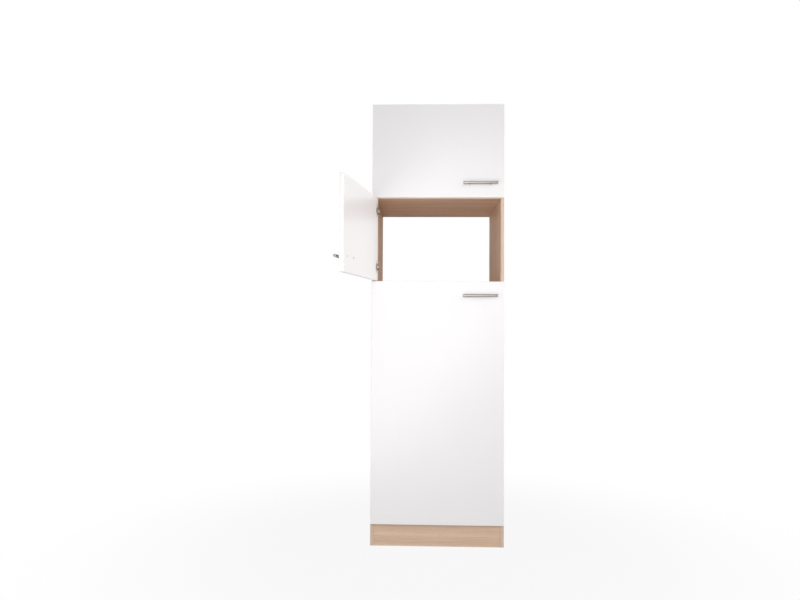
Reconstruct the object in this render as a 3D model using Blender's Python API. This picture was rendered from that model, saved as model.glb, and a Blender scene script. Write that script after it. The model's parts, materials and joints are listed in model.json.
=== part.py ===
"""Appliance housing cabinet: carcass boards, three doors on concealed hinges, bar handles.

Metres, +Z up. The front is towards -Y and the doors hang on the left, -X.
The origin is the middle of the plinth board's bottom face, on the floor.
Doors are modelled shut. Two pivots per door then turn them to their rest angle.
"""

import math

import bmesh
import bpy
from mathutils import Matrix, Vector

# Carcass
CABINET_WIDTH = 0.600
CABINET_HEIGHT = 2.000
CARCASS_DEPTH = 0.580
BOARD = 0.016
BOARD_EDGE_RADIUS = 0.0004
PLINTH_HEIGHT = 0.100
PLINTH_SETBACK = 0.001
TOP_COMPARTMENT_HEIGHT = 0.431
NICHE_CLEAR_HEIGHT = 0.380
RAIL_WIDTH = 0.100
BACK_THICKNESS = 0.003
BACK_INSET = 0.010
GROOVE_DEPTH = 0.006

# Gap between pieces that meet, how far a cutter runs past what it cuts,
# and how near two points of a cut mesh are taken as one
FIT = 0.0003
OVERRUN = 0.004
WELD_DISTANCE = 0.000005

# Doors
DOOR_THICKNESS = 0.016
DOOR_EDGE_RADIUS = 0.0010
DOOR_STANDOFF = 0.002
DOOR_SIDE_REVEAL = 0.0015
DOOR_TOP_REVEAL = 0.002
DOOR_GAP = 0.003
UPPER_SEAM_RISE = 0.0015
LOWER_SEAM_RISE = 0.0045
MIDDLE_DOOR_OPEN_DEGREES = 98.8

# Hinge places on each door
HINGE_END_DISTANCE = 0.060
CUP_CENTRE_DISTANCE = 0.0225

# Hinge cup
CUP_HOLE_RADIUS = 0.0175
CUP_HOLE_DEPTH = 0.0126
CUP_WALL = 0.0008
FLANGE_THICKNESS = 0.0010
COLLAR_RADIUS = 0.0195
COLLAR_STEP = 0.0003
EAR_SPACING = 0.048
EAR_RADIUS = 0.0060
EAR_SETBACK = 0.0060
LINK_SLOT_HEIGHT = 0.0150

# Hinge pivots, measured from the shut door's inner left corner:
# across to the right, and outwards from the inner face into the door
ARM_PIN_ACROSS = 0.0280
ARM_PIN_DEPTH = -0.0030
CUP_PIN_ACROSS = 0.0100
CUP_PIN_DEPTH = 0.0030
PIN_RADIUS = 0.0015
PIN_CLEARANCE = 0.0004
LINK_TURN_SHARE = 0.5

# Hinge link, a bent steel strap between the two pins
LINK_HEIGHT = 0.0100
LINK_THICKNESS = 0.0028
LINK_EYE_RADIUS = 0.0024
LINK_BEND_DEPTH = 0.0080
LINK_BEND_RADIUS = 0.0035

# Hinge arm, a channel over the mounting plate's spine
ARM_SHEET = 0.0012
ARM_BACK_DISTANCE = 0.062
ARM_PLATE_GAP = 0.0008
ARM_WEB_START = 0.0080
ARM_SHOULDER = 0.0070

# Mounting plate
PLATE_THICKNESS = 0.0022
PLATE_SCREW_DISTANCE = 0.037
PLATE_WING_HEIGHT = 0.050
PLATE_WING_DEPTH = 0.016
PLATE_SPINE_FRONT_DISTANCE = 0.018
PLATE_SPINE_LENGTH = 0.046
PLATE_SPINE_RISE = 0.0060

# Handles
HANDLE_LENGTH = 0.156
HANDLE_BAR_RADIUS = 0.006
HANDLE_BAR_CHAMFER = 0.0006
HANDLE_STANDOFF = 0.026
HANDLE_SPACING = 0.096
HANDLE_SIDE_DISTANCE = 0.030
HANDLE_EDGE_DISTANCE = 0.064
POST_RADIUS = 0.005
SCREW_RADIUS = 0.0020
SCREW_HOLE_RADIUS = 0.0025
SCREW_HEAD_RADIUS = 0.0040
SCREW_HEAD_HEIGHT = 0.0020
SCREW_THREAD_IN_POST = 0.0090
SCREW_BORE_DEPTH = 0.0110

# Numbers of sides of round shapes, and the sharpest fold that is shaded smooth
ROUND_SIDES = 24
BAR_SIDES = 20
SMALL_ROUND_SIDES = 12
SMOOTH_DEGREES = 35

# Where the boards lie
CARCASS_FRONT = -(BOARD / 2 + PLINTH_SETBACK)
CARCASS_BACK = CARCASS_FRONT + CARCASS_DEPTH
HALF_WIDTH = CABINET_WIDTH / 2
INNER_HALF_WIDTH = HALF_WIDTH - BOARD
NICHE_CEILING_HEIGHT = CABINET_HEIGHT - TOP_COMPARTMENT_HEIGHT
NICHE_FLOOR_HEIGHT = NICHE_CEILING_HEIGHT - NICHE_CLEAR_HEIGHT

# Where the doors lie when they are shut
DOOR_LEFT = -HALF_WIDTH + DOOR_SIDE_REVEAL
DOOR_WIDTH = CABINET_WIDTH - 2 * DOOR_SIDE_REVEAL
DOOR_INNER_FACE = CARCASS_FRONT - DOOR_STANDOFF
DOOR_OUTER_FACE = DOOR_INNER_FACE - DOOR_THICKNESS


def clear_scene():
    for obj in list(bpy.data.objects):
        bpy.data.objects.remove(obj, do_unlink=True)


def make_material(name, color, roughness, metallic=0.0):
    material = bpy.data.materials.new(name)
    material.use_nodes = True
    shader = material.node_tree.nodes["Principled BSDF"]
    shader.inputs["Base Color"].default_value = (*color, 1.0)
    shader.inputs["Roughness"].default_value = roughness
    shader.inputs["Metallic"].default_value = metallic
    return material


class Pivot:
    """An empty on a vertical hinge axis, and where that axis stands while its door is shut."""

    def __init__(self, name, across, depth, parent=None):
        self.place = Vector((DOOR_LEFT + across, DOOR_INNER_FACE - depth, 0.0))
        self.empty = bpy.data.objects.new(name, None)
        bpy.context.scene.collection.objects.link(self.empty)
        self.empty.location = self.place
        if parent:
            self.empty.parent = parent.empty
            self.empty.location = self.place - parent.place

    def turn(self, degrees):
        self.empty.rotation_euler.z = math.radians(degrees)


def add_object(name, bm, material, centre, pivot=None):
    """Makes an object of bm, whose own origin goes to centre, given for the shut door."""
    mesh = bpy.data.meshes.new(name)
    bmesh.ops.recalc_face_normals(bm, faces=bm.faces)
    bm.to_mesh(mesh)
    bm.free()
    if material:
        mesh.materials.append(material)
    obj = bpy.data.objects.new(name, mesh)
    bpy.context.scene.collection.objects.link(obj)
    obj.location = centre
    if pivot:
        obj.parent = pivot.empty
        obj.location = Vector(centre) - pivot.place
    return obj


def box_mesh(size):
    bm = bmesh.new()
    bmesh.ops.create_cube(bm, size=1)
    bmesh.ops.scale(bm, vec=size, verts=bm.verts)
    return bm


def cylinder_mesh(radius, length, axis, sides, chamfer=0.0):
    """A cylinder about its centre, along X, Y or Z, with its two rims chamfered."""
    bm = bmesh.new()
    bmesh.ops.create_cone(
        bm, cap_ends=True, segments=sides, radius1=radius, radius2=radius, depth=length
    )
    if chamfer:
        rims = [edge for edge in bm.edges if abs(edge.verts[0].co.z - edge.verts[1].co.z) < chamfer]
        bmesh.ops.bevel(bm, geom=rims, offset=chamfer, segments=1, affect="EDGES")
    bmesh.ops.rotate(bm, matrix=Matrix.Rotation(math.pi / sides, 3, "Z"), verts=bm.verts)
    turns = {
        "X": Matrix.Rotation(math.pi / 2, 3, "Y"),
        "Y": Matrix.Rotation(math.pi / 2, 3, "X"),
        "Z": Matrix.Identity(3),
    }
    bmesh.ops.rotate(bm, matrix=turns[axis], verts=bm.verts)
    return bm


def prism_mesh(outline, height):
    """A closed outline in plan, extruded by height along Z about its middle."""
    bm = bmesh.new()
    floor = bm.faces.new([bm.verts.new((x, y, -height / 2)) for x, y in outline])
    raised = bmesh.ops.extrude_face_region(bm, geom=[floor])["geom"]
    lifted = [item for item in raised if isinstance(item, bmesh.types.BMVert)]
    bmesh.ops.translate(bm, vec=(0, 0, height), verts=lifted)
    return bm


def box_between(low, high, name="cutter", material=None, pivot=None, radius=0.0, steps=1):
    """A box from its low corner to its high corner, with its edges rounded by radius."""
    low, high = Vector(low), Vector(high)
    bm = box_mesh(high - low)
    if radius:
        bmesh.ops.bevel(bm, geom=bm.edges, offset=radius, segments=steps, profile=0.5, affect="EDGES")
    return add_object(name, bm, material, (low + high) / 2, pivot)


def cylinder_at(centre, radius, length, axis, sides, pivot=None):
    return add_object("cutter", cylinder_mesh(radius, length, axis, sides), None, centre, pivot)


def combine(body, others, operation):
    """Joins the others to the body, or cuts them out of it, and removes them."""
    for other in others:
        step = body.modifiers.new(operation.lower(), "BOOLEAN")
        step.operation = operation
        step.object = other
    bpy.context.view_layer.update()
    graph = bpy.context.evaluated_depsgraph_get()
    finished = bpy.data.meshes.new_from_object(body.evaluated_get(graph))
    body.modifiers.clear()
    body.data = finished
    bm = bmesh.new()
    bm.from_mesh(finished)
    bmesh.ops.remove_doubles(bm, verts=bm.verts, dist=WELD_DISTANCE)
    bm.to_mesh(finished)
    bm.free()
    for other in others:
        bpy.data.objects.remove(other, do_unlink=True)


def shade(obj):
    obj.data.shade_smooth()
    obj.data.set_sharp_from_angle(angle=math.radians(SMOOTH_DEGREES))


def rounded_route(corners, radius, steps):
    """The corners' polyline with each inner corner replaced by an arc of this radius."""
    route = [Vector(corners[0])]
    for before, corner, after in zip(corners, corners[1:], corners[2:]):
        corner = Vector(corner)
        inward = (Vector(before) - corner).normalized()
        onward = (Vector(after) - corner).normalized()
        half_angle = inward.angle(onward) / 2
        centre = corner + (inward + onward).normalized() * (radius / math.sin(half_angle))
        start = corner + inward * (radius / math.tan(half_angle)) - centre
        sweep = math.pi - 2 * half_angle
        if inward.x * onward.y - inward.y * onward.x > 0:
            sweep = -sweep
        for step in range(steps + 1):
            turned = start.copy()
            turned.rotate(Matrix.Rotation(sweep * step / steps, 2))
            route.append(centre + turned)
    route.append(Vector(corners[-1]))
    return route


def ribbon_outline(route, half_width):
    """The closed outline of a strap of this half width along the route."""
    left, right = [], []
    for index, point in enumerate(route):
        before = route[max(index - 1, 0)]
        after = route[min(index + 1, len(route) - 1)]
        along = (after - before).normalized()
        aside = Vector((-along.y, along.x)) * half_width
        left.append(point + aside)
        right.append(point - aside)
    return left + right[::-1]


def carcass_board(name, low, high, material):
    return box_between(low, high, name, material, radius=BOARD_EDGE_RADIUS)


def build_carcass(wood, plain):
    """The boards. Shelves, rails and plinth stand between the two sides."""
    front, back = CARCASS_FRONT, CARCASS_BACK
    reach = INNER_HALF_WIDTH - FIT
    left = carcass_board(
        "side_panel_left", (-HALF_WIDTH, front, 0), (-INNER_HALF_WIDTH, back, CABINET_HEIGHT), wood
    )
    right = carcass_board(
        "side_panel_right", (INNER_HALF_WIDTH, front, 0), (HALF_WIDTH, back, CABINET_HEIGHT), wood
    )
    top = carcass_board(
        "top_panel", (-reach, front, CABINET_HEIGHT - BOARD), (reach, back, CABINET_HEIGHT), wood
    )
    ceiling = carcass_board(
        "upper_shelf",
        (-reach, front, NICHE_CEILING_HEIGHT),
        (reach, back, NICHE_CEILING_HEIGHT + BOARD),
        wood,
    )
    carcass_board(
        "lower_shelf",
        (-reach, front, NICHE_FLOOR_HEIGHT - BOARD),
        (reach, back, NICHE_FLOOR_HEIGHT),
        wood,
    )
    carcass_board(
        "bottom_panel", (-reach, front, PLINTH_HEIGHT), (reach, back, PLINTH_HEIGHT + BOARD), wood
    )
    carcass_board(
        "plinth_board", (-reach, -BOARD / 2, 0), (reach, BOARD / 2, PLINTH_HEIGHT - FIT), wood
    )
    under_shelf = NICHE_FLOOR_HEIGHT - BOARD - FIT
    carcass_board(
        "middle_rail", (-reach, back - BOARD, under_shelf - RAIL_WIDTH), (reach, back, under_shelf), wood
    )
    above_floor = PLINTH_HEIGHT + BOARD + FIT
    carcass_board(
        "bottom_rail", (-reach, back - BOARD, above_floor), (reach, back, above_floor + RAIL_WIDTH), wood
    )

    # The thin back of the top compartment slides in grooves in the four boards round it.
    sheet_half_width = INNER_HALF_WIDTH + GROOVE_DEPTH - FIT
    sheet_low = NICHE_CEILING_HEIGHT + BOARD - GROOVE_DEPTH + FIT
    sheet_high = CABINET_HEIGHT - BOARD + GROOVE_DEPTH - FIT
    sheet_back = back - BACK_INSET
    sheet_front = sheet_back - BACK_THICKNESS
    box_between(
        (-sheet_half_width, sheet_front, sheet_low),
        (sheet_half_width, sheet_back, sheet_high),
        "top_back",
        plain,
    )
    for grooved in (left, right, top, ceiling):
        groove = box_between(
            (-sheet_half_width - FIT, sheet_front - FIT, sheet_low - FIT),
            (sheet_half_width + FIT, sheet_back + FIT, sheet_high + FIT),
        )
        combine(grooved, [groove], "DIFFERENCE")


def build_plate(name, height, steel):
    """The mounting plate on the side panel: two wings for its screws and a spine for the arm."""
    face = -INNER_HALF_WIDTH + FIT
    top = face + PLATE_THICKNESS
    screws = CARCASS_FRONT + PLATE_SCREW_DISTANCE
    spine_front = CARCASS_FRONT + PLATE_SPINE_FRONT_DISTANCE
    spine_half_height = LINK_HEIGHT / 2
    plate = box_between(
        (face, screws - PLATE_WING_DEPTH / 2, height - PLATE_WING_HEIGHT / 2),
        (top, screws + PLATE_WING_DEPTH / 2, height + PLATE_WING_HEIGHT / 2),
        name,
        steel,
    )
    spine = box_between(
        (face, spine_front, height - spine_half_height),
        (top + PLATE_SPINE_RISE, spine_front + PLATE_SPINE_LENGTH, height + spine_half_height),
    )
    combine(plate, [spine], "UNION")


def build_arm(name, height, steel):
    """The arm: two cheeks and a web, with the arm pin between the cheeks' rounded noses."""
    pin_x = DOOR_LEFT + ARM_PIN_ACROSS
    pin_y = DOOR_INNER_FACE - ARM_PIN_DEPTH
    low_x = -INNER_HALF_WIDTH + FIT + PLATE_THICKNESS + ARM_PLATE_GAP
    web_x = pin_x + LINK_EYE_RADIUS + FIT
    inside = LINK_HEIGHT / 2 + FIT
    outside = inside + ARM_SHEET
    sheet_middle = (inside + outside) / 2
    high_x = web_x + ARM_SHEET / 2
    back = CARCASS_FRONT + ARM_BACK_DISTANCE
    arm = box_between(
        (web_x, pin_y + ARM_WEB_START, height - sheet_middle),
        (web_x + ARM_SHEET, back - ARM_SHEET, height + sheet_middle),
        name,
        steel,
    )
    nose = [
        (pin_x + LINK_EYE_RADIUS * math.cos(angle), pin_y + LINK_EYE_RADIUS * math.sin(angle))
        for angle in angles_between(math.pi, 2 * math.pi, SMALL_ROUND_SIDES // 2)
    ]
    cheek = [(low_x, back), (low_x, pin_y + ARM_SHOULDER)] + nose
    cheek += [(high_x, pin_y + ARM_WEB_START - ARM_SHEET), (high_x, back)]
    pin_length = 2 * (outside + FIT)
    parts = [cylinder_at((pin_x, pin_y, height), PIN_RADIUS, pin_length, "Z", SMALL_ROUND_SIDES)]
    for side in (-1, 1):
        middle = height + side * sheet_middle
        parts.append(add_object("cutter", prism_mesh(cheek, ARM_SHEET), None, (0, 0, middle)))
    combine(arm, parts, "UNION")
    shade(arm)


def build_link(name, height, steel, pivot):
    """The link: a strap that dips into the cup and comes up again to an eye on the cup's pin."""
    across = CUP_PIN_ACROSS - ARM_PIN_ACROSS
    drop = ARM_PIN_DEPTH - CUP_PIN_DEPTH
    bend = ARM_PIN_DEPTH - LINK_BEND_DEPTH
    corners = [(0, 0), (0, bend), (across, bend), (across, drop)]
    route = rounded_route(corners, LINK_BEND_RADIUS, SMALL_ROUND_SIDES // 4)
    strap = prism_mesh(ribbon_outline(route, LINK_THICKNESS / 2), LINK_HEIGHT)
    centre = pivot.place + Vector((0, 0, height))
    link = add_object(name, strap, steel, centre, pivot)
    eyes, holes = [], []
    for x, y in (corners[0], corners[-1]):
        place = centre + Vector((x, y, 0))
        eyes.append(cylinder_at(place, LINK_EYE_RADIUS, LINK_HEIGHT, "Z", SMALL_ROUND_SIDES, pivot))
        holes.append(
            cylinder_at(
                place, PIN_RADIUS + PIN_CLEARANCE, LINK_HEIGHT + OVERRUN, "Z", SMALL_ROUND_SIDES, pivot
            )
        )
    combine(link, eyes, "UNION")
    combine(link, holes, "DIFFERENCE")
    shade(link)


def build_cup(name, height, steel, pivot):
    """The cup: a bowl sunk in the door, a flange with two ears on its face, and the cup pin."""
    centre_x = DOOR_LEFT + CUP_CENTRE_DISTANCE
    seat = DOOR_INNER_FACE + FIT
    rim = seat + FLANGE_THICKNESS + COLLAR_STEP
    bowl_radius = CUP_HOLE_RADIUS - FIT
    bowl_bottom = DOOR_INNER_FACE - CUP_HOLE_DEPTH + FIT
    cavity_radius = bowl_radius - CUP_WALL
    cavity_bottom = bowl_bottom + CUP_WALL

    def drum(radius, low_y, high_y, x, z):
        middle = (x, (low_y + high_y) / 2, z)
        return cylinder_at(middle, radius, high_y - low_y, "Y", ROUND_SIDES, pivot)

    ears = []
    for end, start_angle in ((1, 0), (-1, math.pi)):
        for angle in angles_between(start_angle, start_angle + math.pi, SMALL_ROUND_SIDES // 2):
            ears.append((EAR_RADIUS * math.cos(angle), end * EAR_SPACING / 2 + EAR_RADIUS * math.sin(angle)))
    flange = prism_mesh(ears, FLANGE_THICKNESS)
    bmesh.ops.rotate(flange, matrix=Matrix.Rotation(math.pi / 2, 3, "X"), verts=flange.verts)
    flange_centre = (centre_x + EAR_SETBACK, seat + FLANGE_THICKNESS / 2, height)
    cup = add_object(name, flange, steel, flange_centre, pivot)
    collar = drum(COLLAR_RADIUS, seat + COLLAR_STEP, rim, centre_x, height)
    bowl = drum(bowl_radius, bowl_bottom, (seat + rim) / 2, centre_x, height)
    combine(cup, [collar, bowl], "UNION")
    cavity = drum(cavity_radius, cavity_bottom, rim + OVERRUN, centre_x, height)
    slot = box_between(
        (centre_x - COLLAR_RADIUS - OVERRUN, DOOR_INNER_FACE, height - LINK_SLOT_HEIGHT / 2),
        (DOOR_LEFT + CUP_PIN_ACROSS, rim + OVERRUN, height + LINK_SLOT_HEIGHT / 2),
        pivot=pivot,
    )
    combine(cup, [cavity, slot], "DIFFERENCE")
    pin_x = DOOR_LEFT + CUP_PIN_ACROSS
    pin_left = centre_x - (pin_x - PIN_RADIUS)
    pin_reach = math.sqrt(bowl_radius**2 - pin_left**2) - FIT
    pin_place = (pin_x, DOOR_INNER_FACE - CUP_PIN_DEPTH, height)
    pin = cylinder_at(pin_place, PIN_RADIUS, 2 * pin_reach, "Z", SMALL_ROUND_SIDES, pivot)
    combine(cup, [pin], "UNION")
    shade(cup)


def build_door(door, pivot, material):
    """The front panel with its cup holes and the screw holes of its handle."""
    panel = box_between(
        (DOOR_LEFT, DOOR_OUTER_FACE, door["low"]),
        (DOOR_LEFT + DOOR_WIDTH, DOOR_INNER_FACE, door["high"]),
        door["name"] + "_door",
        material,
        pivot,
        DOOR_EDGE_RADIUS,
        steps=2,
    )
    holes = []
    for height in door["hinge_heights"]:
        middle_y = DOOR_INNER_FACE - CUP_HOLE_DEPTH + (CUP_HOLE_DEPTH + OVERRUN) / 2
        centre = (DOOR_LEFT + CUP_CENTRE_DISTANCE, middle_y, height)
        length = CUP_HOLE_DEPTH + OVERRUN
        holes.append(cylinder_at(centre, CUP_HOLE_RADIUS, length, "Y", ROUND_SIDES, pivot))
    for x in post_places():
        centre = (x, (DOOR_OUTER_FACE + DOOR_INNER_FACE) / 2, door["handle_height"])
        length = DOOR_THICKNESS + 2 * OVERRUN
        holes.append(cylinder_at(centre, SCREW_HOLE_RADIUS, length, "Y", SMALL_ROUND_SIDES, pivot))
    combine(panel, holes, "DIFFERENCE")
    shade(panel)


def post_places():
    """Where the two posts of a handle stand, across the cabinet."""
    middle = DOOR_LEFT + DOOR_WIDTH - HANDLE_SIDE_DISTANCE - HANDLE_LENGTH / 2
    return middle - HANDLE_SPACING / 2, middle + HANDLE_SPACING / 2


def build_handle(door, pivot, metal, screw_metal):
    """A round bar on two posts, each held by a screw through the door."""
    name = door["name"] + "_handle"
    height = door["handle_height"]
    left, right = post_places()
    bar_y = DOOR_OUTER_FACE - HANDLE_STANDOFF
    bar_mesh = cylinder_mesh(HANDLE_BAR_RADIUS, HANDLE_LENGTH, "X", BAR_SIDES, HANDLE_BAR_CHAMFER)
    bar = add_object(name + "_bar", bar_mesh, metal, ((left + right) / 2, bar_y, height), pivot)
    shade(bar)
    post_foot = DOOR_OUTER_FACE - FIT
    for side, x in (("left", left), ("right", right)):
        post = add_object(
            f"{name}_post_{side}",
            cylinder_mesh(POST_RADIUS, post_foot - bar_y, "Y", SMALL_ROUND_SIDES),
            metal,
            (x, (post_foot + bar_y) / 2, height),
            pivot,
        )
        saddle = cylinder_at(
            (x, bar_y, height), HANDLE_BAR_RADIUS + FIT, 2 * POST_RADIUS + OVERRUN, "X", BAR_SIDES, pivot
        )
        bore_length = SCREW_BORE_DEPTH + OVERRUN
        bore_middle = post_foot - SCREW_BORE_DEPTH + bore_length / 2
        bore = cylinder_at(
            (x, bore_middle, height), SCREW_RADIUS + FIT, bore_length, "Y", SMALL_ROUND_SIDES, pivot
        )
        combine(post, [saddle, bore], "DIFFERENCE")
        shade(post)
        build_screw(f"{name}_screw_{side}", x, height, pivot, screw_metal)


def build_screw(name, x, height, pivot, metal):
    """A pan-head screw from the door's inner face into the post."""
    seat = DOOR_INNER_FACE + FIT
    crown = seat + SCREW_HEAD_HEIGHT
    tip = DOOR_OUTER_FACE - SCREW_THREAD_IN_POST
    head = cylinder_mesh(
        SCREW_HEAD_RADIUS, SCREW_HEAD_HEIGHT, "Y", SMALL_ROUND_SIDES, SCREW_HEAD_HEIGHT / 4
    )
    screw = add_object(name, head, metal, (x, (seat + crown) / 2, height), pivot)
    shank_top = crown - SCREW_HEAD_HEIGHT / 2
    shank = cylinder_at(
        (x, (shank_top + tip) / 2, height), SCREW_RADIUS, shank_top - tip, "Y", SMALL_ROUND_SIDES, pivot
    )
    combine(screw, [shank], "UNION")
    shade(screw)


def hinge_heights(low, high, count):
    first, last = low + HINGE_END_DISTANCE, high - HINGE_END_DISTANCE
    return [first + (last - first) * index / (count - 1) for index in range(count)]


def door_table():
    """Each door's edges, hinges, handle height and rest angle, from the boards' heights."""
    lower_seam = NICHE_FLOOR_HEIGHT + LOWER_SEAM_RISE
    upper_seam = NICHE_CEILING_HEIGHT + UPPER_SEAM_RISE
    doors = [
        {
            "name": "top",
            "low": upper_seam + DOOR_GAP / 2,
            "high": CABINET_HEIGHT - DOOR_TOP_REVEAL,
            "hinges": ("lower", "upper"),
            "handle_above_low": True,
            "open_degrees": 0.0,
        },
        {
            "name": "middle",
            "low": lower_seam + DOOR_GAP / 2,
            "high": upper_seam - DOOR_GAP / 2,
            "hinges": ("lower", "upper"),
            "handle_above_low": True,
            "open_degrees": MIDDLE_DOOR_OPEN_DEGREES,
        },
        {
            "name": "bottom",
            "low": PLINTH_HEIGHT,
            "high": lower_seam - DOOR_GAP / 2,
            "hinges": ("lower", "middle", "upper"),
            "handle_above_low": False,
            "open_degrees": 0.0,
        },
    ]
    for door in doors:
        door["hinge_heights"] = hinge_heights(door["low"], door["high"], len(door["hinges"]))
        if door["handle_above_low"]:
            door["handle_height"] = door["low"] + HANDLE_EDGE_DISTANCE
        else:
            door["handle_height"] = door["high"] - HANDLE_EDGE_DISTANCE
    return doors


def build_door_set(door, white, metal, steel):
    """One door with its handle and hinges, turned to the angle at which it stands at rest."""
    link_pivot = Pivot(door["name"] + "_link_pivot", ARM_PIN_ACROSS, ARM_PIN_DEPTH)
    door_pivot = Pivot(door["name"] + "_door_pivot", CUP_PIN_ACROSS, CUP_PIN_DEPTH, link_pivot)
    build_door(door, door_pivot, white)
    build_handle(door, door_pivot, metal, steel)
    for place, height in zip(door["hinges"], door["hinge_heights"]):
        name = f"{door['name']}_hinge_{place}"
        build_plate(name + "_plate", height, steel)
        build_arm(name + "_arm", height, steel)
        build_link(name + "_link", height, steel, link_pivot)
        build_cup(name + "_cup", height, steel, door_pivot)
    link_pivot.turn(LINK_TURN_SHARE * door["open_degrees"])
    door_pivot.turn(-(1 + LINK_TURN_SHARE) * door["open_degrees"])


def angles_between(start, end, steps):
    return [start + (end - start) * step / steps for step in range(steps + 1)]


def main():
    clear_scene()
    oak = make_material("oak_decor", (0.56, 0.42, 0.33), 0.55)
    hardboard = make_material("hardboard", (0.80, 0.78, 0.74), 0.7)
    white = make_material("white_front", (0.90, 0.90, 0.89), 0.35)
    nickel = make_material("brushed_nickel", (0.50, 0.50, 0.50), 0.35, 1.0)
    zinc = make_material("hinge_steel", (0.62, 0.60, 0.58), 0.3, 1.0)
    build_carcass(oak, hardboard)
    for door in door_table():
        build_door_set(door, white, nickel, zinc)


main()
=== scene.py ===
"""Looks of the appliance housing cabinet: finishes, hardware, light and camera.

Metres, +Z up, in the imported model's frame. The front is towards -Y and the doors hang on the left.
"""

import json
import math

import bmesh
import bpy
from mathutils import Matrix, Vector


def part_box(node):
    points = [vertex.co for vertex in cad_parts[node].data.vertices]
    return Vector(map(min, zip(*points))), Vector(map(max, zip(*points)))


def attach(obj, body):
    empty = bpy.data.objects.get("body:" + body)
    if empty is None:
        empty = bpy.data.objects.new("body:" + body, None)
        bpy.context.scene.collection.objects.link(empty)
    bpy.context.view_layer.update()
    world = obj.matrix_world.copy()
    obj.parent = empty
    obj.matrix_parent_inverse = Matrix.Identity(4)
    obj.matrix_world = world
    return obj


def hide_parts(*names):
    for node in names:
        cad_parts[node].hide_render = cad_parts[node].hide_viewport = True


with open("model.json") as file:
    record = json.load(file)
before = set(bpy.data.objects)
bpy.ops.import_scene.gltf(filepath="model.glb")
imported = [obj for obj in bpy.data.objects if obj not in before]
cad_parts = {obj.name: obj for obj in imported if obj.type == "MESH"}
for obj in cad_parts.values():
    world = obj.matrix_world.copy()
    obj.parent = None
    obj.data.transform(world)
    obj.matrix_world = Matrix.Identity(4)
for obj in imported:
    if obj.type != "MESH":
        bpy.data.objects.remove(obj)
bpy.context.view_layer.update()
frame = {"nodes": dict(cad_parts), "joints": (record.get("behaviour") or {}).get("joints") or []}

# Camera
CAMERA_PLACE = (-0.0596, -3.303, 1.0111)
CAMERA_YAW_DEGREES = 1.94
CAMERA_PITCH_DEGREES = 1.67
CAMERA_ROLL_DEGREES = 0.32
CAMERA_LENS_MM = 32.65
CAMERA_SENSOR_MM = 36.0

# Directions
RIGHT = (1, 0, 0)
TO_FRONT = (0, -1, 0)
TO_REAR = (0, 1, 0)

# Doors with the places of their hinges. A hinge's links turn by a share of the door's angle
DOOR_HINGES = {
    "top": ("lower", "upper"),
    "middle": ("lower", "upper"),
    "bottom": ("lower", "middle", "upper"),
}
MIDDLE_DOOR_OPEN_DEGREES = 98.8
LINK_TURN_SHARE = 0.5

# Boards: thickness of the band on their front edges
EDGE_BAND = 0.0008

# Turned pieces
ROUND_STEPS = 40
SHARP_EDGE_DEGREES = 35

# Handles
BAR_RADIUS = 0.0060
BAR_END_RADIUS = 0.0010
BAR_END_STEPS = 5
BAR_STEPS = 64
POST_NECK_RADIUS = 0.0042
POST_FOOT_RADIUS = 0.0052
POST_FOOT_HEIGHT = 0.0015
POST_FOOT_EDGE_RADIUS = 0.0005
POST_FOOT_EDGE_STEPS = 3

# Screw heads: the rounded edge and the recess's depth are shares of the height, and the reach and
# width of the recess's cutter are shares of the radius. The cutter's foot is narrower than its top
HEAD_EDGE_SHARE = 0.55
HEAD_EDGE_DEGREES = 80
HEAD_EDGE_STEPS = 5
RECESS_DEPTH_SHARE = 0.60
RECESS_REACH_SHARE = 0.58
RECESS_WIDTH_SHARE = 0.20
RECESS_FOOT_SHARE = 0.35

# Handle screws
HANDLE_SCREW_RADIUS = 0.0040
HANDLE_SCREW_HEIGHT = 0.0020
HANDLE_SCREW_SPIN_DEGREES = 20

# Screws in the ears of the hinge cups
CUP_CENTRE_DISTANCE = 0.0225
EAR_SETBACK = 0.0060
EAR_SPACING = 0.048
FLANGE_THICKNESS = 0.0010
FLANGE_SEAT_GAP = 0.0002
EAR_SCREW_RADIUS = 0.0040
EAR_SCREW_HEIGHT = 0.0016
EAR_SCREW_SPIN_DEGREES = 25

# Screws in the hinge plates
PLATE_THICKNESS = 0.0022
PLATE_SCREW_DISTANCE = 0.037
PLATE_SCREW_SPACING = 0.032
PLATE_SCREW_RADIUS = 0.0042
PLATE_SCREW_HEIGHT = 0.0018
PLATE_SCREW_SPIN_DEGREES = 40

# Screws that adjust the hinge arms
ARM_SIDE_SCREW_DISTANCE = 0.024
ARM_DEPTH_SCREW_DISTANCE = 0.049
ARM_SCREW_RADIUS = 0.0038
ARM_SCREW_HEIGHT = 0.0014
ARM_SCREW_SPIN_DEGREES = 45

# Door buffers: domes on a low rim
BUFFER_RADIUS = 0.0040
BUFFER_HEIGHT = 0.0015
BUFFER_RIM_SHARE = 0.3
BUFFER_STEPS = 7
BUFFER_END_DISTANCE = 0.014

# Cover caps over the board connectors
CAP_RADIUS = 0.0085
CAP_HEIGHT = 0.0012
CAP_EDGE_RADIUS = 0.0006
CAP_EDGE_STEPS = 4
CAP_END_DISTANCE = 0.034
CAP_EDGE_DISTANCE = 0.060

# Floor: pale in the middle, where it keeps the shadow, and white further off
FLOOR_RADIUS = 30.0
FLOOR_STEPS = 64
FLOOR_DROP = 0.0005
FLOOR_TONE = 0.30
FLOOR_WHITE_SHARE = 0.91
FLOOR_FADE_LIMITS = (0.6, 1.9)

# Sky: its strength in front and at the rear, what the right adds, and where these change, as parts
# of the direction along Y and along X
SKY_FRONT_STRENGTH = 0.25
SKY_REAR_STRENGTH = 0.23
SKY_RIGHT_STRENGTH = 0.85
SKY_REAR_LIMITS = (-0.1, 0.5)
SKY_RIGHT_LIMITS = (0.2, 0.8)

# White of the far floor and of the sky, as the camera sees them
WHITE = (1.0, 1.0, 1.0)

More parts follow.
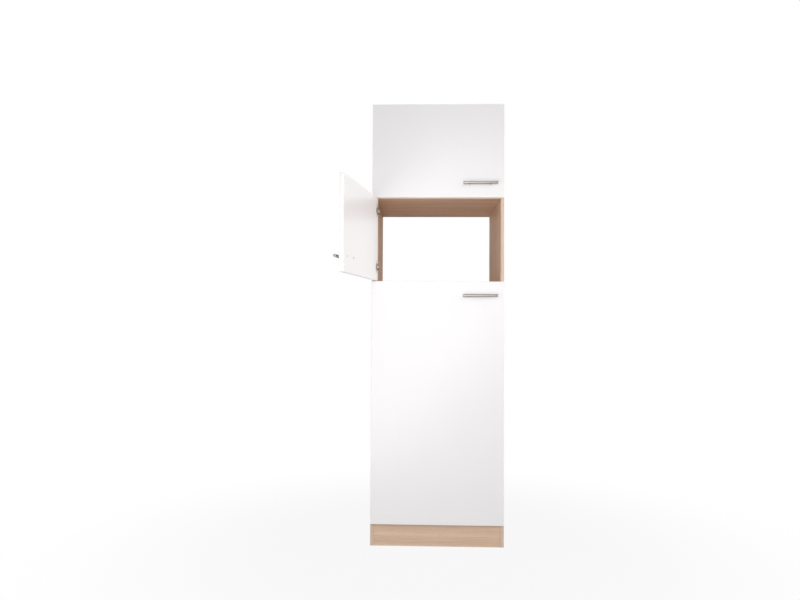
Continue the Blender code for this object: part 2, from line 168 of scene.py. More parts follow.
# Soft boxes: where each hangs, what it points at, its size, its roll and its power. The rear one
# would show as a glare along the boards, so it gives no highlights
LAMPS = {
    "key": {
        "place": (-0.16, -2.10, 1.07), "aim": (0.0, 0.0, 1.15),
        "size": (2.44, 1.22), "watts": 32.3, "roll_degrees": 52.0,
    },
    "right": {
        "place": (2.40, -0.35, 1.30), "aim": (0.0, 0.2, 1.0),
        "size": (1.60, 1.60), "watts": 24.0,
    },
    "left": {
        "place": (-2.40, 0.20, 1.30), "aim": (0.0, 0.3, 1.0),
        "size": (1.60, 1.60), "watts": 20.0,
    },
    "rear": {
        "place": (0.10, 2.90, 1.78), "aim": (0.0, 0.5, 1.2),
        "size": (0.80, 0.40), "watts": 25.0, "highlights": False,
    },
    "top": {
        "place": (0.0, 0.35, 3.00), "aim": (0.0, 0.34, 2.0),
        "size": (0.90, 0.80), "watts": 7.5,
    },
}

# Noises of the oak decor: the scale along the grain and across it, per metre, the detail and the
# roughness. Drift, sway and fray bend the growth rings
OAK_NOISES = {
    "drift": (0.8, 1.7, 2.0, 0.5),
    "sway": (2.4, 8.0, 3.0, 0.5),
    "fray": (11.0, 330.0, 3.0, 0.6),
    "fibre": (6.0, 520.0, 4.0, 0.65),
    "streak": (1.1, 34.0, 4.0, 0.6),
    "pore": (38.0, 1100.0, 1.0, 0.5),
    "saw": (300.0, 6.0, 2.0, 0.5),
}

# Growth rings: how far the noises bend them, how the trunk leans away from the board, and the noise
# that runs outwards through them
RING_DRIFT = 0.24
RING_SWAY = 0.014
RING_FRAY = 0.0045
TRUNK_LEAN_SHARE = 0.055
TRUNK_START = 0.012
RING_SCALE = 210.0
RING_DETAIL = 3.0
RING_ROUGHNESS = 0.65

# Where the heart of the trunk lies, across the grain of each kind of board, and how much of the
# shelves' height counts as their distance from it
SIDE_HEART = 0.21
SHELF_HEART = 0.22
FRONT_HEART = -0.04
SHELF_DEPTH_SHARE = 0.13

# Colours of the oak decor, the values of the noises between which each comes in, and its strength
STREAK_TONES = ((0.725, 0.520, 0.378), (0.850, 0.640, 0.490))
STREAK_LIMITS = (0.32, 0.68)
LATE_WOOD_TONE = (0.560, 0.375, 0.262)
LATE_WOOD_LIMITS = (0.47, 0.70)
LATE_WOOD_STRENGTH = 0.27
FIBRE_TONE = (0.500, 0.340, 0.240)
FIBRE_LIMITS = (0.32, 0.72)
FIBRE_STRENGTH = 0.26
PORE_TONE = (0.330, 0.215, 0.150)
PORE_LIMITS = (0.60, 0.72)
PORE_RING_LIMITS = (0.38, 0.58)
PORE_RING_STRENGTHS = (0.30, 1.0)
PORE_STRENGTH = 0.42
SAW_TONE = (0.900, 0.745, 0.610)
SAW_LIMITS = (0.56, 0.70)
SAW_STREAK_LIMITS = (0.45, 0.65)
SAW_STRENGTH = 0.20
BAND_TONE = (0.740, 0.670, 0.620)
BAND_STRENGTH = 0.22

# Surface of the oak decor: the shelves have the more matt one
OAK_GLOSS = 0.03
SHELF_GLOSS = 0.011
OAK_ROUGHNESSES = (0.50, 0.62)
OAK_ROUGHNESS_LIMITS = (0.2, 0.8)
OAK_BUMP = {"Strength": 0.16, "Distance": 0.0004}
PORE_BUMP_SHARE = -0.7
FIBRE_BUMP_SHARE = 0.5

# A surface looks along an axis where this much of its normal does
FACING_LIMIT = 0.5

# Chipboard: flakes of several tones with small dark gaps
FLAKE_TONES = ((0.500, 0.375, 0.245), (0.740, 0.595, 0.430))
FLAKE_SCALE = 430.0
CHIP_GAP_TONE = (0.300, 0.205, 0.125)
CHIP_GAP_NOISE = {"scales": 900.0, "detail": 2.0}
CHIP_GAP_LIMITS = (0.55, 0.75)
CHIP_GAP_STRENGTH = 0.50

# White foil
FOIL_TONES = ((0.892, 0.873, 0.874), (0.914, 0.896, 0.897))
FOIL_CLOUD_NOISE = {"scales": 7.0, "detail": 2.0}
FOIL_PEEL_NOISE = {"scales": 190.0, "detail": 2.0, "roughness": 0.45}
FOIL_ROUGHNESSES = (0.275, 0.29)
FOIL_ROUGHNESS_LIMITS = (0.3, 0.7)
FOIL_BUMP = {"Strength": 0.06, "Distance": 0.0003}
FOIL_GLOSS = 0.5

# Hardboard: the mesh pressed into its back is a product of two sine waves, in radians per metre
HARDBOARD_PALE_TONES = ((0.800, 0.790, 0.770), (0.850, 0.845, 0.830))
HARDBOARD_BROWN_TONES = ((0.235, 0.135, 0.070), (0.390, 0.245, 0.140))
HARDBOARD_FIBRE_NOISE = {"scales": (260.0, 260.0, 700.0), "detail": 4.0, "roughness": 0.65}
HARDBOARD_FIBRE_LIMITS = (0.3, 0.7)
HARDBOARD_MESH_WAVE = 2600.0
HARDBOARD_MESH_SHARE = 0.4
HARDBOARD_BUMP = {"Strength": 0.35, "Distance": 0.0004}
HARDBOARD_ROUGHNESS = 0.62

# Metals: their two tones, their roughness, the scales of their marks and the marks' bump. The marks
# of brushed nickel run along Z, which is the own axis of a bar and of a post
METALS = {
    # The hinges' arms, links and plates are the same plated steel as the cups, painted darker and
    # warmer: painted shade
    "hinge_steel": {
        "tones": ((0.245, 0.200, 0.165), (0.330, 0.280, 0.240)),
        "roughness": 0.42, "mark_scales": 380.0, "bump_strength": 0.03,
    },
    "cup_steel": {
        "tones": ((0.560, 0.530, 0.505), (0.680, 0.650, 0.625)),
        "roughness": 0.45, "mark_scales": 380.0, "bump_strength": 0.03,
    },
    "brushed_nickel": {
        "tones": ((0.265, 0.245, 0.232), (0.370, 0.345, 0.330)),
        "roughness": 0.34, "mark_scales": (1900.0, 1900.0, 30.0), "bump_strength": 0.08,
    },
}
METAL_MARK_DETAIL = 3.0
METAL_MARK_ROUGHNESS = 0.6
METAL_CLOUD_NOISE = {"scales": 60.0, "detail": 2.0}
METAL_CLOUD_SHARE = 0.4
METAL_ROUGHNESS_LIMITS = (0.25, 0.75)
METAL_ROUGHNESS_REACH = 0.06
METAL_BUMP_DISTANCE = 0.0002

# Milky plastic of the buffers
BUFFER_TONE = (0.96, 0.96, 0.96)
BUFFER_HAZE_NOISE = {"scales": 500.0, "detail": 2.0}
BUFFER_HAZE_LIMITS = (0.2, 0.8)
BUFFER_ROUGHNESSES = (0.20, 0.34)
BUFFER_CLEAR_SHARE = 0.30
BUFFER_IOR = 1.36

# Plastic of the cover caps
CAP_TONES = ((0.560, 0.400, 0.290), (0.640, 0.475, 0.350))
CAP_GRAIN_NOISE = {"scales": 700.0, "detail": 3.0}
CAP_BUMP = {"Strength": 0.1, "Distance": 0.0002}
CAP_ROUGHNESS = 0.45

# Sockets of the mix node that take its two colours, and the one that gives the mixed colour
MIX_COLOR_INPUTS = (6, 7)
MIX_COLOR_OUTPUT = 2


class Graph:
    """The node tree of a material or a world: adds nodes, joins their sockets and sets their values."""

    def __init__(self, owner):
        owner.use_nodes = True
        self.owner = owner
        self.tree = owner.node_tree
        self.tree.nodes.clear()

    def add(self, kind, values=None, **settings):
        node = self.tree.nodes.new(kind)
        for name, setting in settings.items():
            setattr(node, name, setting)
        for name, value in (values or {}).items():
            self.feed(node.inputs[name], value)
        return node

    def feed(self, socket, value):
        """Joins a socket to another one or sets its value. A colour gets its alpha here."""
        if isinstance(value, bpy.types.NodeSocket):
            self.tree.links.new(value, socket)
        elif socket.type == "RGBA":
            socket.default_value = (*value, 1.0)
        else:
            socket.default_value = value

    def math(self, operation, first, second=0.0, third=0.0):
        values = {0: first, 1: second, 2: third}
        return self.add("ShaderNodeMath", values, operation=operation).outputs[0]

    def length(self, first, second):
        """The square root of the sum of the squares of two values."""
        squares = [self.math("MULTIPLY", value, value) for value in (first, second)]
        return self.math("SQRT", self.math("ADD", *squares))

    def spread(self, value, limits, results=(0.0, 1.0)):
        """The value, moved smoothly from between the limits to between the results, and held there."""
        values = {
            "Value": value, "From Min": limits[0], "From Max": limits[1],
            "To Min": results[0], "To Max": results[1],
        }
        return self.add("ShaderNodeMapRange", values, interpolation_type="SMOOTHSTEP").outputs[0]

    def mix(self, factor, first, second):
        node = self.add("ShaderNodeMix", {0: factor}, data_type="RGBA")
        for index, color in zip(MIX_COLOR_INPUTS, (first, second)):
            self.feed(node.inputs[index], color)
        return node.outputs[MIX_COLOR_OUTPUT]

    def parts(self, coordinates):
        """The X, Y and Z parts of Object coordinates, in metres, of the Normal, or of a sky's
        direction, which is called Generated."""
        vector = self.add("ShaderNodeTexCoord").outputs[coordinates]
        separate = self.add("ShaderNodeSeparateXYZ", {0: vector})
        return dict(zip("XYZ", separate.outputs))

    def stretched(self, place, scales):
        """A vector of these three coordinates, times one scale or each times its own."""
        if isinstance(scales, float):
            scales = (scales, scales, scales)
        scaled = [self.math("MULTIPLY", part, scale) for part, scale in zip(place, scales)]
        return self.add("ShaderNodeCombineXYZ", dict(enumerate(scaled))).outputs[0]

    def noise(self, place, scales, detail, roughness=0.5):
        vector = self.stretched(place, scales)
        values = {"Vector": vector, "Scale": 1.0, "Detail": detail, "Roughness": roughness}
        return self.add("ShaderNodeTexNoise", values).outputs[0]

    def bump(self, height, settings):
        return self.add("ShaderNodeBump", {"Height": height, **settings}).outputs[0]

    def finish(self, shader, output="ShaderNodeOutputMaterial"):
        self.tree.links.new(shader.outputs[0], self.add(output).inputs[0])
        return self.owner

    def surface(self, values):
        """Ends a material with one surface of these values."""
        return self.finish(self.add("ShaderNodeBsdfPrincipled", values))


def oak_rings(graph, place, noises, heart, depth_share):
    """The noise of growth rings, cut at a slant so that they close into long arches. The place is
    along the grain, across it and into the board. Half of the drift comes off again, because the
    middle of a noise is a half."""
    along, across, deep = place
    side = graph.math("MULTIPLY_ADD", noises["drift"], RING_DRIFT, across)
    side = graph.math("ADD", side, -heart - RING_DRIFT / 2)
    side = graph.math("MULTIPLY_ADD", noises["sway"], RING_SWAY, side)
    lean = graph.math("MULTIPLY_ADD", along, TRUNK_LEAN_SHARE, TRUNK_START)
    lean = graph.math("MULTIPLY_ADD", deep, depth_share, lean)
    radius = graph.math("MULTIPLY_ADD", noises["fray"], RING_FRAY, graph.length(side, lean))
    values = {
        "W": graph.math("MULTIPLY", radius, RING_SCALE),
        "Scale": 1.0, "Detail": RING_DETAIL, "Roughness": RING_ROUGHNESS,
    }
    return graph.add("ShaderNodeTexNoise", values, noise_dimensions="1D").outputs[0]


def oak_color(graph, noises, rings, pores):
    """Streaks, late wood, fibres and pores along the grain, and faint saw marks across it."""
    late_wood = graph.spread(rings, LATE_WOOD_LIMITS)
    in_streaks = graph.spread(noises["streak"], SAW_STREAK_LIMITS)
    saw_marks = graph.math("MULTIPLY", graph.spread(noises["saw"], SAW_LIMITS), in_streaks)
    color = graph.mix(graph.spread(noises["streak"], STREAK_LIMITS), *STREAK_TONES)
    layers = (
        (graph.math("MULTIPLY", late_wood, LATE_WOOD_STRENGTH), LATE_WOOD_TONE),
        (graph.spread(noises["fibre"], FIBRE_LIMITS, (0.0, FIBRE_STRENGTH)), FIBRE_TONE),
        (graph.math("MULTIPLY", pores, PORE_STRENGTH), PORE_TONE),
        (graph.math("MULTIPLY", saw_marks, SAW_STRENGTH), SAW_TONE),
    )
    for strength, tone in layers:
        color = graph.mix(strength, color, tone)
    return color


def chipboard_color(graph, place):
    """Flakes, and the gaps between them."""
    spot = graph.stretched(place, FLAKE_SCALE)
    flakes = graph.add("ShaderNodeTexVoronoi", {"Vector": spot, "Scale": 1.0, "Randomness": 1.0})
    color = graph.mix(flakes.outputs["Color"], *FLAKE_TONES)
    gaps = graph.spread(graph.noise(place, **CHIP_GAP_NOISE), CHIP_GAP_LIMITS, (0.0, CHIP_GAP_STRENGTH))
    return graph.mix(gaps, color, CHIP_GAP_TONE)


def oak_material(name, along, across, deep, heart, depth_share=1.0, gloss=OAK_GLOSS):
    """Light oak decor on chipboard, for boards whose grain and depth lie along these axes. The decor
    is on the faces and on the front edge, whose band is greyer, and the other edges show the chips.
    The trunk's heart lies at this place across the grain, and off the board by a share of the
    board's own place in depth."""
    graph = Graph(bpy.data.materials.new(name))
    place = graph.parts("Object")
    grain = (place[along], place[across], place[deep])
    noises = {
        use: graph.noise(grain, (long_scale, cross_scale, cross_scale), detail, roughness)
        for use, (long_scale, cross_scale, detail, roughness) in OAK_NOISES.items()
    }
    rings = oak_rings(graph, grain, noises, heart, depth_share)
    in_rings = graph.spread(rings, PORE_RING_LIMITS, PORE_RING_STRENGTHS)
    pores = graph.math("MULTIPLY", graph.spread(noises["pore"], PORE_LIMITS), in_rings)
    decor = oak_color(graph, noises, rings, pores)

    # A board that faces the front has no band there
    if deep != "Y":
        band_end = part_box("side_panel_left")[0].y + EDGE_BAND
        in_band = graph.math("LESS_THAN", place["Y"], band_end)
        decor = graph.mix(graph.math("MULTIPLY", in_band, BAND_STRENGTH), decor, BAND_TONE)

    facing = graph.parts("Normal")
    on_face = graph.math("GREATER_THAN", graph.math("ABSOLUTE", facing[deep]), FACING_LIMIT)
    on_front = graph.math("LESS_THAN", facing["Y"], -FACING_LIMIT)
    has_decor = graph.math("MAXIMUM", on_face, on_front)
    color = graph.mix(has_decor, chipboard_color(graph, place.values()), decor)

    fibre_height = graph.math("MULTIPLY", noises["fibre"], FIBRE_BUMP_SHARE)
    height = graph.math("MULTIPLY_ADD", pores, PORE_BUMP_SHARE, fibre_height)
    return graph.surface({
        "Base Color": color,
        "Roughness": graph.spread(noises["fibre"], OAK_ROUGHNESS_LIMITS, OAK_ROUGHNESSES),
        "Normal": graph.bump(height, OAK_BUMP),
        "Specular IOR Level": gloss,
    })


def white_material(name):
    """White semi-gloss foil on board, with a faint orange-peel surface."""
    graph = Graph(bpy.data.materials.new(name))
    place = graph.parts("Object").values()
    cloud = graph.noise(place, **FOIL_CLOUD_NOISE)
    peel = graph.noise(place, **FOIL_PEEL_NOISE)
    return graph.surface({
        "Base Color": graph.mix(cloud, *FOIL_TONES),
        "Roughness": graph.spread(cloud, FOIL_ROUGHNESS_LIMITS, FOIL_ROUGHNESSES),
        "Normal": graph.bump(peel, FOIL_BUMP),
        "Specular IOR Level": FOIL_GLOSS,
    })


def hardboard_material(name):
    """Thin hardboard: a pale foil towards the front, brown pressed fibre towards the back."""
    graph = Graph(bpy.data.materials.new(name))
    place = graph.parts("Object")
    fibre = graph.noise(place.values(), **HARDBOARD_FIBRE_NOISE)
    waves = [
        graph.math("SINE", graph.math("MULTIPLY", place[axis], HARDBOARD_MESH_WAVE)) for axis in "XZ"
    ]
    pressed_mesh = graph.math("MULTIPLY", *waves)
    brown = graph.mix(graph.spread(fibre, HARDBOARD_FIBRE_LIMITS), *HARDBOARD_BROWN_TONES)
    pale = graph.mix(fibre, *HARDBOARD_PALE_TONES)
    on_back = graph.math("GREATER_THAN", graph.parts("Normal")["Y"], FACING_LIMIT)
    relief = graph.math("MULTIPLY_ADD", pressed_mesh, HARDBOARD_MESH_SHARE, fibre)
    return graph.surface({
        "Base Color": graph.mix(on_back, pale, brown),
        "Roughness": HARDBOARD_ROUGHNESS,
        "Normal": graph.bump(graph.math("MULTIPLY", on_back, relief), HARDBOARD_BUMP),
    })


def metal_material(name, tones, roughness, mark_scales, bump_strength):
    """Bare metal with fine marks, which are long along an axis whose scale is small."""
    graph = Graph(bpy.data.materials.new(name))
    place = graph.parts("Object").values()
    marks = graph.noise(place, mark_scales, METAL_MARK_DETAIL, METAL_MARK_ROUGHNESS)
    cloud = graph.noise(place, **METAL_CLOUD_NOISE)
    mark_part = graph.math("MULTIPLY", marks, 1 - METAL_CLOUD_SHARE)
    mixture = graph.math("MULTIPLY_ADD", cloud, METAL_CLOUD_SHARE, mark_part)
    roughnesses = (roughness - METAL_ROUGHNESS_REACH, roughness + METAL_ROUGHNESS_REACH)
    bump = {"Strength": bump_strength, "Distance": METAL_BUMP_DISTANCE}
    return graph.surface({
        "Base Color": graph.mix(mixture, *tones),
        "Metallic": 1.0,
        "Roughness": graph.spread(marks, METAL_ROUGHNESS_LIMITS, roughnesses),
        "Normal": graph.bump(marks, bump),
    })


def buffer_material(name):
    """Soft milky plastic of the door buffers."""
    graph = Graph(bpy.data.materials.new(name))
    haze = graph.noise(graph.parts("Object").values(), **BUFFER_HAZE_NOISE)
    return graph.surface({
        "Base Color": BUFFER_TONE,
        "Roughness": graph.spread(haze, BUFFER_HAZE_LIMITS, BUFFER_ROUGHNESSES),
        "Transmission Weight": BUFFER_CLEAR_SHARE,
        "IOR": BUFFER_IOR,
    })


def cap_material(name):
    """Moulded plastic cover caps in the decor's tone."""
    graph = Graph(bpy.data.materials.new(name))
    grain = graph.noise(graph.parts("Object").values(), **CAP_GRAIN_NOISE)
    return graph.surface({
        "Base Color": graph.mix(grain, *CAP_TONES),
        "Roughness": CAP_ROUGHNESS,
        "Normal": graph.bump(grain, CAP_BUMP),
    })


def new_object(name, data):
    """A new object in the scene."""
    obj = bpy.data.objects.new(name, data)
    bpy.context.scene.collection.objects.link(obj)
    return obj


def mesh_of(bm, name):
    """A mesh of what was built in bmesh."""
    mesh = bpy.data.meshes.new(name)
    bm.to_mesh(mesh)
    bm.free()
    return mesh


def smooth(mesh):
    """Shades a mesh smooth, apart from its sharp edges."""
    mesh.shade_smooth()
    mesh.set_sharp_from_angle(angle=math.radians(SHARP_EDGE_DEGREES))
    return mesh


def turned_mesh(name, outline, tip_height, steps=ROUND_STEPS):
    """A closed turned solid that stands on the plane Z = 0. Its outline's points, of a radius and a
    height, run from the foot to the tip."""
    bm = bmesh.new()
    angles = [2 * math.pi * step / steps for step in range(steps)]
    rows = [[bm.verts.new((0, 0, 0))]]
    for radius, height in outline:
        rows.append([bm.verts.new((radius * math.cos(a), radius * math.sin(a), height)) for a in angles])
    rows.append([bm.verts.new((0, 0, tip_height))])
    for low, high in zip(rows, rows[1:]):
        for step in range(steps):
            following = (step + 1) % steps
            if len(low) == 1:
                bm.faces.new((low[0], high[following], high[step]))
            elif len(high) == 1:
                bm.faces.new((low[step], low[following], high[0]))
            else:
                bm.faces.new((low[step], low[following], high[following], high[step]))
    bmesh.ops.recalc_face_normals(bm, faces=bm.faces)
    return mesh_of(bm, name)


def round_edge(radius, height, edge_radius, steps, sweep_degrees=90):
    """Points of an outline round its upper edge, from the side inwards."""
    points = []
    for step in range(steps + 1):
        angle = math.radians(sweep_degrees * step / steps)
        across = radius - edge_radius + edge_radius * math.cos(angle)
        points.append((across, height - edge_radius + edge_radius * math.sin(angle)))
    return points


def cross_mesh(reach, width, depth):
    """A tapered cross that cuts the recess of a screw's head, from above the head down into it."""
    bm = bmesh.new()
    half = width / 2
    arm = [(half, half), (reach, half), (reach, -half)]
    outline = []
    for quarter in range(4):
        outline += arm
        arm = [(y, -x) for x, y in arm]
    outline.reverse()
    top = [bm.verts.new((x, y, depth)) for x, y in outline]
    foot = [bm.verts.new((x * RECESS_FOOT_SHARE, y * RECESS_FOOT_SHARE, -depth)) for x, y in outline]
    bm.faces.new(top)
    bm.faces.new(foot[::-1])
    for index in range(len(outline)):
        following = (index + 1) % len(outline)
        bm.faces.new((top[index], foot[index], foot[following], top[following]))
    bmesh.ops.recalc_face_normals(bm, faces=bm.faces)
    return mesh_of(bm, "cross")


def screw_head_mesh(name, radius, height):
    """A pan head with a cross recess, standing on the plane Z = 0."""
    edge = round_edge(radius, height, height * HEAD_EDGE_SHARE, HEAD_EDGE_STEPS, HEAD_EDGE_DEGREES)
    head = new_object(name, turned_mesh(name, [(radius, 0)] + edge, height))
    recess = cross_mesh(
        radius * RECESS_REACH_SHARE, radius * RECESS_WIDTH_SHARE, height * RECESS_DEPTH_SHARE
    )
    cutter = new_object("cross", recess)
    cutter.location.z = height
    cut = head.modifiers.new("recess", "BOOLEAN")
    cut.operation = "DIFFERENCE"
    cut.object = cutter
    bpy.context.view_layer.update()
    mesh = bpy.data.meshes.new_from_object(head.evaluated_get(bpy.context.evaluated_depsgraph_get()))
    mesh.name = name
    bpy.data.objects.remove(head)
    bpy.data.objects.remove(cutter)
    return smooth(mesh)


def bar_mesh(length):
    """A handle's bar, with both ends rounded."""
    tip = round_edge(BAR_RADIUS, length, BAR_END_RADIUS, BAR_END_STEPS)
    foot = [(radius, length - height) for radius, height in reversed(tip)]
    return smooth(turned_mesh("handle_bar", foot + tip, length, BAR_STEPS))


def post_mesh(length):
    """A handle's post, on a wider foot."""
    foot_edge = round_edge(
        POST_FOOT_RADIUS, POST_FOOT_HEIGHT, POST_FOOT_EDGE_RADIUS, POST_FOOT_EDGE_STEPS
    )
    neck = [(POST_NECK_RADIUS, POST_FOOT_HEIGHT), (POST_NECK_RADIUS, length)]
    return smooth(turned_mesh("handle_post", [(POST_FOOT_RADIUS, 0)] + foot_edge + neck, length))


def buffer_mesh():
    """A dome on a low rim."""
    outline = [(BUFFER_RADIUS, 0)]
    for step in range(BUFFER_STEPS):
        angle = math.pi / 2 * step / BUFFER_STEPS
        rise = BUFFER_RIM_SHARE + (1 - BUFFER_RIM_SHARE) * math.sin(angle)
        outline.append((BUFFER_RADIUS * math.cos(angle), BUFFER_HEIGHT * rise))
    mesh = turned_mesh("buffer", outline, BUFFER_HEIGHT)
    mesh.shade_smooth()
    return mesh


def cap_mesh():
    """A flat disc with a rounded edge."""
    edge = round_edge(CAP_RADIUS, CAP_HEIGHT, CAP_EDGE_RADIUS, CAP_EDGE_STEPS)
    return smooth(turned_mesh("cover_cap", [(CAP_RADIUS, 0)] + edge, CAP_HEIGHT))


def towards(axis, place, spin_degrees=0.0):
    """The matrix that stands a mesh made along +Z at a place, pointing along the axis."""
    turn = Vector(axis).to_track_quat("Z", "Y").to_matrix().to_4x4()
    return Matrix.Translation(place) @ turn @ Matrix.Rotation(math.radians(spin_degrees), 4, "Z")


def turn_about(place, degrees):
    """The matrix of a turn about the upright axis through a place."""
    turn = Matrix.Rotation(math.radians(degrees), 4, "Z")
    return Matrix.Translation(place) @ turn @ Matrix.Translation(-place)


def joint_place(name):
    return Vector(next(joint["pos_m"] for joint in frame["joints"] if joint["name"] == name))


def rest_turn(door):
    """The matrix from a shut door's place to where it stands at rest. The top door is shut at rest,
    so its joints are where the middle one's would be."""
    if door != "middle":
        return Matrix.Identity(4)
    link_degrees = LINK_TURN_SHARE * MIDDLE_DOOR_OPEN_DEGREES
    link_turn = turn_about(joint_place("middle_link_swing"), link_degrees)
    door_degrees = link_degrees + MIDDLE_DOOR_OPEN_DEGREES
    return link_turn @ turn_about(joint_place("top_door_swing"), -door_degrees)


def middle_of(node):
    low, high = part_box(node)
    return (low + high) / 2


def add_piece(name, mesh, material, matrix, body):
    """A piece of this mesh, at this place at rest, that rides on a body."""
    obj = new_object(name, mesh)
    if not mesh.materials:
        mesh.materials.append(material)
    obj.matrix_world = matrix
    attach(obj, body)
    return obj


def paint(node, material):
    """Gives a CAD node its finish."""
    obj = frame["nodes"][node]
    obj.data.materials.clear()
    obj.data.materials.append(material)


def dress_boards():
    sides = oak_material("oak_sides", along="Z", across="Y", deep="X", heart=SIDE_HEART)
    shelves = oak_material(
        "oak_shelves", along="X", across="Y", deep="Z", heart=SHELF_HEART,
        depth_share=SHELF_DEPTH_SHARE, gloss=SHELF_GLOSS,
    )
    fronts = oak_material("oak_plinth", along="X", across="Z", deep="Y", heart=FRONT_HEART)
    for node in ("side_panel_left", "side_panel_right"):
        paint(node, sides)
    for node in ("top_panel", "upper_shelf", "lower_shelf", "bottom_panel"):
        paint(node, shelves)
    for node in ("plinth_board", "middle_rail", "bottom_rail"):
        paint(node, fronts)
    paint("top_back", hardboard_material("hardboard_back"))


def dress_caps():
    """Cover caps over the connectors, on the sides of the boards that don't show at rest."""
    mesh = cap_mesh()
    material = cap_material("cap_plastic")
    boards = {"top_panel": -1, "upper_shelf": 1, "lower_shelf": -1, "bottom_panel": -1}
    for board, side in boards.items():
        low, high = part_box(board)
        face = high.z if side > 0 else low.z
        ends = {"left": low.x + CAP_END_DISTANCE, "right": high.x - CAP_END_DISTANCE}
        edges = {"front": low.y + CAP_EDGE_DISTANCE, "rear": high.y - CAP_EDGE_DISTANCE}
        for across, x in ends.items():
            for deep, y in edges.items():
                matrix = towards((0, 0, side), (x, y, face))
                add_piece(f"{board}_cap_{deep}_{across}", mesh, material, matrix, "carcass")


def dress_doors(white):
    """Foil on the doors, and two buffers on the inside of each, across from its hinges."""
    mesh = buffer_mesh()
    material = buffer_material("clear_plastic")
    right_board = middle_of("side_panel_right").x
    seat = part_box("top_door")[1].y
    for door in DOOR_HINGES:
        paint(f"{door}_door", white)
        low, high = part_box(f"{door}_door")
        ends = {"lower": low.z + BUFFER_END_DISTANCE, "upper": high.z - BUFFER_END_DISTANCE}
        for end, height in ends.items():
            matrix = rest_turn(door) @ towards(TO_REAR, (right_board, seat, height))
            add_piece(f"{door}_buffer_{end}", mesh, material, matrix, f"{door}_front")


def dress_handles(metal, steel):
    """Finer bars, posts and screw heads in the places of the plain ones. All but their heights are
    measured on the top door, which is shut at rest."""
    bar_low, bar_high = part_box("top_handle_bar")
    bar_y = middle_of("top_handle_bar").y
    post_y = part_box("top_handle_post_left")[1].y
    bar_shape = bar_mesh(bar_high.x - bar_low.x)
    post_shape = post_mesh(post_y - bar_y)
    head_shape = screw_head_mesh("handle_screw_head", HANDLE_SCREW_RADIUS, HANDLE_SCREW_HEIGHT)
    for door in DOOR_HINGES:
        turn = rest_turn(door)
        height = middle_of(f"{door}_handle_bar").z
        body = f"{door}_front"
        bar_place = turn @ towards(RIGHT, (bar_low.x, bar_y, height))
        bar = add_piece(f"{door}_bar", bar_shape, metal, bar_place, body)
        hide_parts(f"{door}_handle_bar")
        for side in ("left", "right"):
            x = middle_of(f"top_handle_post_{side}").x
            post_place = turn @ towards(TO_FRONT, (x, post_y, height))
            post = add_piece(
                f"{door}_post_{side}", post_shape, metal, post_place, body
            )
            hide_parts(f"{door}_handle_post_{side}")
            head_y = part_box(f"top_handle_screw_{side}")[1].y - HANDLE_SCREW_HEIGHT
            head_place = turn @ towards(TO_REAR, (x, head_y, height), HANDLE_SCREW_SPIN_DEGREES)
            head = add_piece(
                f"{door}_handle_screw_head_{side}", head_shape, steel, head_place, body
            )
            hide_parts(f"{door}_handle_screw_{side}")


def dress_hinges(steel, cup_steel):
    """Steel on the hinges, and the heads of the screws in their cups, plates and arms. The cups'
    screws are placed on a shut door and turned with it to where it stands at rest."""
    for node in frame["nodes"]:
        if "_hinge_" in node:
            # All but the cups get the darker steel, as do the screws in the plates and arms: its tone is
            # painted shade
            paint(node, cup_steel if node.endswith("_cup") else steel)
    ear_screw = screw_head_mesh("ear_screw", EAR_SCREW_RADIUS, EAR_SCREW_HEIGHT)
    plate_screw = screw_head_mesh("plate_screw", PLATE_SCREW_RADIUS, PLATE_SCREW_HEIGHT)
    arm_screw = screw_head_mesh("arm_screw", ARM_SCREW_RADIUS, ARM_SCREW_HEIGHT)
    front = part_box("side_panel_left")[0].y
    door_low, door_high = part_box("top_door")
    ear_x = door_low.x + CUP_CENTRE_DISTANCE + EAR_SETBACK
    ear_y = door_high.y + FLANGE_SEAT_GAP + FLANGE_THICKNESS
    arm_screws = {"side": ARM_SIDE_SCREW_DISTANCE, "depth": ARM_DEPTH_SCREW_DISTANCE}
    for door, places in DOOR_HINGES.items():
        for hinge in (f"{door}_hinge_{place}" for place in places):
            plate_low, plate_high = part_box(f"{hinge}_plate")
            height = (plate_low.z + plate_high.z) / 2
            wing_top = plate_low.x + PLATE_THICKNESS
            arm_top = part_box(f"{hinge}_arm")[1].x
            for end, side in (("lower", -1), ("upper", 1)):
                seat = (ear_x, ear_y, height + side * EAR_SPACING / 2)
                add_piece(
                    f"{hinge}_cup_screw_{end}", ear_screw, cup_steel,
                    rest_turn(door) @ towards(TO_REAR, seat, side * EAR_SCREW_SPIN_DEGREES),
                    f"{door}_front",
                )
                seat = (wing_top, front + PLATE_SCREW_DISTANCE, height + side * PLATE_SCREW_SPACING / 2)
                add_piece(
                    f"{hinge}_plate_screw_{end}", plate_screw, steel,
                    towards(RIGHT, seat, side * PLATE_SCREW_SPIN_DEGREES), "carcass",
                )
            for use, distance in arm_screws.items():
                seat = (arm_top, front + distance, height)
                add_piece(
                    f"{hinge}_arm_screw_{use}", arm_screw, steel,
                    towards(RIGHT, seat, ARM_SCREW_SPIN_DEGREES), "carcass",
                )


def seen_directly(graph):
    """One for rays from the camera, mirrors and glass, and nought for the rest."""
    path = graph.add("ShaderNodeLightPath")
    seen = graph.math("MAXIMUM", path.outputs["Is Camera Ray"], path.outputs["Is Glossy Ray"])
    return graph.math("MAXIMUM", seen, path.outputs["Is Transmission Ray"])


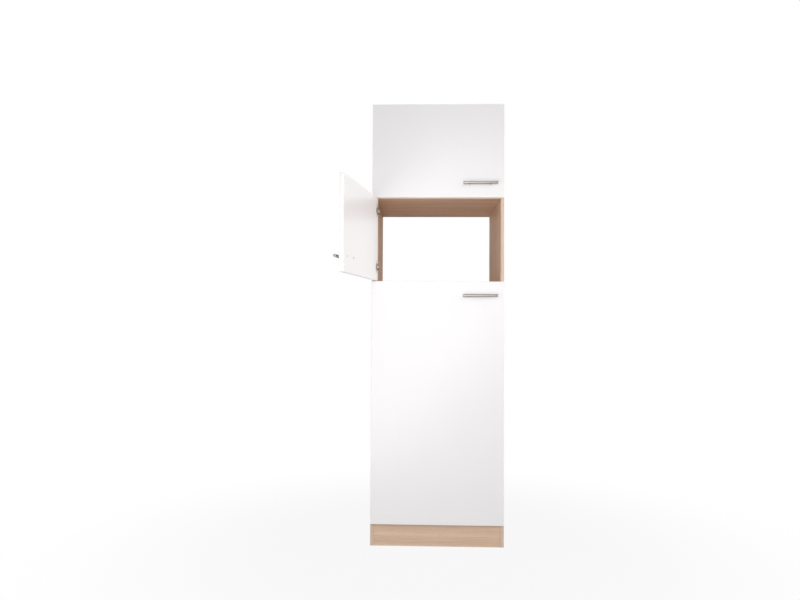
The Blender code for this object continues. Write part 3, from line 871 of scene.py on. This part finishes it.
def build_sky():
    """A soft sky that shows as white. Its light is brighter to the right and dimmer at the rear."""
    world = bpy.data.worlds.new("studio")
    bpy.context.scene.world = world
    graph = Graph(world)
    direction = graph.parts("Generated")
    glow = graph.spread(direction["Y"], SKY_REAR_LIMITS, (SKY_FRONT_STRENGTH, SKY_REAR_STRENGTH))
    to_right = graph.spread(direction["X"], SKY_RIGHT_LIMITS)
    to_front = graph.spread(direction["Y"], SKY_REAR_LIMITS[::-1])
    from_right = graph.math("MULTIPLY", to_right, to_front)
    glow = graph.math("MULTIPLY_ADD", from_right, SKY_RIGHT_STRENGTH, glow)
    strength = graph.math("MAXIMUM", glow, seen_directly(graph))
    background = graph.add("ShaderNodeBackground", {"Color": WHITE, "Strength": strength})
    graph.finish(background, "ShaderNodeOutputWorld")


def build_floor():
    """A pale floor that keeps the cabinet's shadow and fades to white further off."""
    bm = bmesh.new()
    bmesh.ops.create_circle(bm, cap_ends=True, radius=FLOOR_RADIUS, segments=FLOOR_STEPS)
    mesh = mesh_of(bm, "floor")
    floor = new_object("floor", mesh)
    floor.location.z = -FLOOR_DROP
    graph = Graph(bpy.data.materials.new("pale_floor"))
    place = graph.parts("Object")
    distance = graph.length(place["X"], place["Y"])
    whiteness = graph.spread(distance, FLOOR_FADE_LIMITS, (FLOOR_WHITE_SHARE, 1.0))
    diffuse = graph.add("ShaderNodeBsdfDiffuse", {"Color": (FLOOR_TONE, FLOOR_TONE, FLOOR_TONE)})
    white = graph.add("ShaderNodeEmission", {"Color": WHITE, "Strength": 1.0})
    share = graph.math("MULTIPLY", seen_directly(graph), whiteness)
    mixed = graph.add("ShaderNodeMixShader", {0: share, 1: diffuse.outputs[0], 2: white.outputs[0]})
    mesh.materials.append(graph.finish(mixed))


def build_lamps():
    for name, setting in LAMPS.items():
        data = bpy.data.lights.new(name, "AREA")
        data.shape = "RECTANGLE"
        data.size, data.size_y = setting["size"]
        data.energy = setting["watts"]
        lamp = new_object(name, data)
        place = Vector(setting["place"])
        aim = (Vector(setting["aim"]) - place).to_track_quat("-Z", "Y").to_matrix().to_4x4()
        roll = Matrix.Rotation(math.radians(setting.get("roll_degrees", 0.0)), 4, "Z")
        lamp.matrix_world = Matrix.Translation(place) @ aim @ roll
        lamp.visible_camera = False
        lamp.visible_glossy = setting.get("highlights", True)


def build_camera():
    data = bpy.data.cameras.new("camera")
    data.sensor_fit = "HORIZONTAL"
    data.sensor_width = CAMERA_SENSOR_MM
    data.lens = CAMERA_LENS_MM
    camera = new_object("camera", data)
    yaw = Matrix.Rotation(math.radians(CAMERA_YAW_DEGREES), 4, "Z")
    pitch = Matrix.Rotation(math.radians(90 + CAMERA_PITCH_DEGREES), 4, "X")
    roll = Matrix.Rotation(math.radians(CAMERA_ROLL_DEGREES), 4, "Z")
    camera.matrix_world = Matrix.Translation(CAMERA_PLACE) @ yaw @ pitch @ roll
    bpy.context.scene.camera = camera


def main():
    metals = {name: metal_material(name, **setting) for name, setting in METALS.items()}
    dress_boards()
    dress_caps()
    dress_doors(white_material("white_foil"))
    dress_handles(metals["brushed_nickel"], metals["cup_steel"])
    dress_hinges(metals["hinge_steel"], metals["cup_steel"])
    build_sky()
    build_floor()
    build_lamps()
    build_camera()
    bpy.context.scene.view_settings.view_transform = "Standard"


main()
